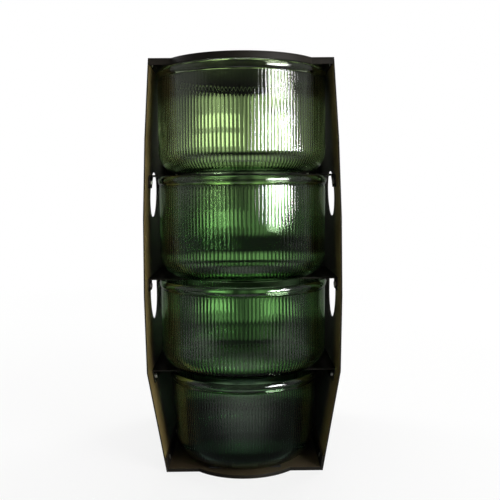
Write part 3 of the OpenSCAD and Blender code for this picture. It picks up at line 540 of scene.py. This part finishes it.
edgeWork = {"merge": 0.001 * mm, "flat": 0.4, "corner": 34, "smooth": 32, "flatWeight": 50, "solidSmooth": 30}
easedEdges = {
    "side_wall_left": (0.3, 2), "side_wall_right": (0.3, 2), "top_plate": (0.4, 2), "top_rim": (0.3, 2),
    "bottom_plate": (0.6, 3), "rail_upper_left": (0.3, 2), "rail_upper_right": (0.3, 2),
    "rail_lower_left": (0.3, 2), "rail_lower_right": (0.3, 2),
    "top_rivets": (0.6, 4), "bottom_rivets": (0.6, 4), "frame_rivets": (0.6, 4), "rail_screws": (0.35, 3),
    "rear_door": (0.6, 3), "door_gasket": (0.9, 4),
    "hinge_leaves_frame": (0.35, 2), "hinge_leaves_door": (0.35, 2), "hinge_pins": (0.4, 3),
    "latch_bushes": (0.25, 2), "conduit_hub": (0.7, 3), "bottom_plug": (0.5, 3), "driver": (0.6, 3),
    "terminal_block": (0.5, 2), "lamp_tray": (0.3, 2), "earth_stud": (0.3, 2), "earth_nut": (0.3, 2),
    "floor_strips": (0.25, 2), "seat_strips": (0.25, 2)}
# pieces whose faces are too narrow for the full width everywhere
narrowEdges = {
    "rail_middle_left": (0.3, 2), "rail_middle_right": (0.3, 2), "tray_screws": (0.35, 3),
    "hinge_screws_frame": (0.35, 3), "hinge_screws_door": (0.35, 3), "hub_screws": (0.4, 3),
    "latch_knob_upper": (0.8, 3), "latch_knob_lower": (0.8, 3), "latch_cam_upper": (0.3, 2),
    "latch_cam_lower": (0.3, 2)}


def easeEdges(node, width, segments, clamped):
    hold(cadNodes[node])
    bpy.ops.object.duplicate()
    piece = bpy.context.object
    piece.name = "eased" + "".join(word.capitalize() for word in node.split("_"))
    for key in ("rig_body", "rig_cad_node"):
        del piece[key]
    edit(piece)
    bpy.ops.mesh.select_all(action="SELECT")
    bpy.ops.mesh.remove_doubles(threshold=edgeWork["merge"])
    bpy.ops.mesh.select_all(action="SELECT")
    bpy.ops.mesh.dissolve_limited(angle_limit=math.radians(edgeWork["flat"]))
    done()
    applyModifier(piece, "BEVEL", limit_method="ANGLE", angle_limit=math.radians(edgeWork["corner"]),
                  width=width * mm, segments=segments, use_clamp_overlap=clamped, miter_outer="MITER_ARC")
    smooth(piece, edgeWork["smooth"])
    applyModifier(piece, "WEIGHTED_NORMAL", keep_sharp=True, weight=edgeWork["flatWeight"])
    dress(piece, finishes[slotOf[node]])
    standFor(piece, node)
    return piece


eased = {node: easeEdges(node, *sizes, False) for node, sizes in easedEdges.items()}
eased.update({node: easeEdges(node, *sizes, True) for node, sizes in narrowEdges.items()})
print("edges eased on", len(eased), "pieces")


# the housing is lacquered a lighter bronze inside; the greyer lacquer further back is a painted shadow of the
# drums, and the floor's darker copy of the lacquer is painted shade

facingIn = 0.9
lacquered = {
    "side_wall_left": ((1, 0, 0), "wall"), "side_wall_right": ((-1, 0, 0), "wall"),
    "bottom_plate": ((0, 0, 1), "floor")}
for node, (inward, coat) in lacquered.items():
    sheet = eased[node]
    dress(sheet, housingPaint, insideCoats[coat])
    edit(sheet)
    pick(sheet, lambda face: face.normal.dot(Vector(inward)) > facingIn, "FACE")
    sheet.active_material_index = 1
    bpy.ops.object.material_slot_assign()
    done()
print("housing lacquered")


# what keeps its solid gets its finish

for node, part in cadNodes.items():
    if node in eased or node in drumFoot:
        continue
    dress(part, panelSheets.get(node) or finishes[slotOf[node]])
    smooth(part, edgeWork["solidSmooth"])
print("finishes put on the other solids")


# stage, light and camera

studio = {
    "floorSize": 12.0, "floorNear": 0.82, "nearRing": 0.45, "farRing": 1.5, "floorShade": (0.8, 0.8, 0.79),
    "ambient": 0.27, "front": 0.065, "back": 0.16, "flank": 0.34, "stripes": 0.6, "stripe": 0.42,
    "pool": 0.62, "poolFar": (-0.6, -0.5), "poolNear": (-0.25, -0.17), "poolStripe": 0.5,
    "poolLeast": 0.6, "poolSpan": 0.4, "behind": (-0.1, 0.4), "room": (0.55, 0.97), "flankEdge": (0.72, 0.9),
    "floorGrain": 3.0, "floorCloud": 1.03}


def rayKind(paint):
    # 1 for what the camera sees itself, and 1 for what it sees in glass and metal
    seen = paint.add("ShaderNodeLightPath", out="Is Camera Ray")
    mirrored = paint.add("ShaderNodeLightPath", out="Is Glossy Ray")
    through = paint.add("ShaderNodeLightPath", out="Is Transmission Ray")
    return seen, (mirrored + through - mirrored * through) * (1 - seen)


letGo()
bpy.ops.mesh.primitive_plane_add(size=studio["floorSize"], location=(0, 0, 0))
floor = bpy.context.object
floor.name = "studioFloor"
paint = newPaint("studioFloor")
seen, shown = rayKind(paint)
spot = paint.place()
ring = paint.add("ShaderNodeVectorMath", {"operation": "LENGTH"}, {0: spot}, out="Value")
far = paint.ramp(ring, studio["nearRing"], studio["farRing"])
depth = paint.part(spot, "Y")
behind = paint.ramp(depth, *studio["behind"])
# glass and metal show the floor as a dim painted emission, with a painted pool of window light crossed by
# bars of painted shadow
sideways = paint.part(spot, "X")
bars = paint.wave(sideways, studio["poolStripe"])
pool = paint.ramp(depth, *studio["poolFar"]) * (1 - paint.ramp(depth, *studio["poolNear"]))
pool = pool * (studio["poolLeast"] + studio["poolSpan"] * bars) * studio["pool"]
reflected = (studio["front"] + pool) * (1 - behind) + behind * studio["back"]
plainness = studio["floorNear"] + far * (1 - studio["floorNear"])
paler = tuple(studio["floorCloud"] * v for v in studio["floorShade"])
matt = paint.add("ShaderNodeBsdfDiffuse", {}, {
    "Color": paint.blend(paint.noise(studio["floorGrain"], detail=2.0), studio["floorShade"], paler)})
white = paint.add("ShaderNodeEmission", {}, {"Color": (1, 1, 1, 1), "Strength": 1.0})
plain = paint.add("ShaderNodeMixShader", {}, {0: seen * plainness, 1: matt, 2: white})
dim = paint.add("ShaderNodeEmission", {}, {
    "Color": paint.blend(reflected, (0, 0, 0), (1, 1, 1)), "Strength": 1.0})
whole = paint.add("ShaderNodeMixShader", {}, {0: shown, 1: plain, 2: dim})
paint.add("ShaderNodeOutputMaterial", {}, {"Surface": whole})
dress(floor, paint.owner)

world = bpy.data.worlds.new("studio")
bpy.context.scene.world = world
paint = Paint(world)
seen, shown = rayKind(paint)
heading = paint.add("ShaderNodeTexCoord", out="Generated")
depth = paint.part(heading, "Y")
room = paint.add("ShaderNodeMapRange", {"interpolation_type": "SMOOTHSTEP", "clamp": True}, {
    "Value": depth, "From Min": studio["room"][0], "From Max": studio["room"][1]})
side = paint.part(heading, "X")
wave = paint.wave(side, studio["stripe"])
aside = paint.unsigned(side)
flank = paint.ramp(aside, *studio["flankEdge"])
front = studio["front"] * (1 + wave * studio["stripes"]) + flank * studio["flank"]
level = seen + shown * (room * studio["back"] + (1 - room) * front) + (1 - seen - shown) * studio["ambient"]
sky = paint.add("ShaderNodeBackground", {}, {"Color": (1, 1, 1, 1), "Strength": level})
paint.add("ShaderNodeOutputWorld", {}, {"Surface": sky})

axisY = sum(v.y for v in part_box("lens_drum_1")) / 2
# turn in degrees from the front to the right, aim the height that a lamp points at
lamps = {
    "window": {
        "turn": 46, "away": 1.3, "height": 0.39, "aim": 0.39, "size": (0.7, 0.66), "watts": 17.0,
        "falls": "housing"},
    "paneLow": {
        "turn": 47, "away": 1.31, "height": 0.32, "aim": 0.32, "size": (0.84, 0.34), "watts": 52.0,
        "falls": "glass", "outside": 1.0, "inside": 0.18},
    "paneHigh": {
        "turn": 49, "away": 1.31, "height": 0.64, "aim": 0.64, "size": (0.84, 0.24), "watts": 24.0,
        "falls": "glass", "outside": 1.0, "inside": 0.18},
    "rearLeft": {
        "turn": -125, "away": 1.8, "height": 0.9, "aim": 0.25, "size": (0.7, 0.7), "watts": 14.0,
        "falls": "all"},
    "rearRight": {
        "turn": 140, "away": 1.8, "height": 0.9, "aim": 0.25, "size": (0.7, 0.7), "watts": 14.0,
        "falls": "all"},
    "overhead": {
        "turn": 180, "away": 0.5, "height": 1.7, "aim": 0.3, "size": (0.9, 0.9), "watts": 12.0,
        "falls": "all"}}
paneFall = {"crossed": (2.4, 3.4), "sides": 1.6, "ends": 0.5, "endLeast": 0.3, "endSpan": 0.7}


def softenPane(lamp, outside, inside):
    # brightest in the middle, with one share for a drum's near wall and one for what lies inside
    paint = Paint(lamp)
    crossed = paint.ramp(paint.add("ShaderNodeLightPath", out="Transmission Depth"), *paneFall["crossed"])
    spot = paint.add("ShaderNodeTexCoord", out="UV")
    across = paint.part(spot, "X")
    up = paint.part(spot, "Y")
    ends = paneFall["endLeast"] + paneFall["endSpan"] * (up * (1 - up) * 4) ** paneFall["ends"]
    glow = (across * (1 - across) * 4) ** paneFall["sides"] * ends
    glow = glow * (outside + crossed * (inside - outside))
    shine = paint.add("ShaderNodeEmission", {}, {
        "Color": paint.blend(glow, (0, 0, 0), (1, 1, 1)), "Strength": 1.0})
    paint.add("ShaderNodeOutputLight", {}, {"Surface": shine})


# the drums, and all the rest
glassGroup = bpy.data.collections.new("glassGroup")
housingGroup = bpy.data.collections.new("housingGroup")
for drum in drums:
    glassGroup.objects.link(drum)
for piece in bpy.context.scene.objects:
    if piece.type == "MESH" and piece not in drums:
        housingGroup.objects.link(piece)
for name, lamp in lamps.items():
    letGo()
    turn = math.radians(lamp["turn"])
    spot = Vector((lamp["away"] * math.sin(turn), axisY - lamp["away"] * math.cos(turn), lamp["height"]))
    aim = Vector((0, axisY, lamp["aim"])) - spot
    bpy.ops.object.light_add(type="AREA", location=spot, rotation=aim.to_track_quat("-Z", "Y").to_euler())
    light = bpy.context.object
    light.name = name
    light.data.shape = "RECTANGLE"
    light.data.size, light.data.size_y = lamp["size"]
    light.data.energy = lamp["watts"]
    light.visible_camera = False
    if lamp["falls"] == "glass":
        light.light_linking.receiver_collection = glassGroup
        softenPane(light.data, lamp["outside"], lamp["inside"])
    elif lamp["falls"] == "housing":
        light.visible_transmission = False
        light.light_linking.receiver_collection = housingGroup

# angles in radians
view = {
    "away": 774.5 * mm, "height": 311.8 * mm, "pitch": 0.09, "turn": 0.01065, "roll": -0.008, "lens": 48.318,
    "sensor": 36, "nearest": 0.05}
letGo()
bpy.ops.object.camera_add(location=(0, axisY - view["away"], view["height"]))
camera = bpy.context.object
aimed = Euler((math.pi / 2 - view["pitch"], 0, -view["turn"])).to_matrix()
camera.rotation_euler = (aimed @ Matrix.Rotation(view["roll"], 3, "Z")).to_euler()
camera.data.lens = view["lens"]
camera.data.sensor_width = view["sensor"]
camera.data.clip_start = view["nearest"]
bpy.context.scene.camera = camera
bpy.context.scene.view_settings.view_transform = "Standard"
print("stage, light and camera set")

letGo()
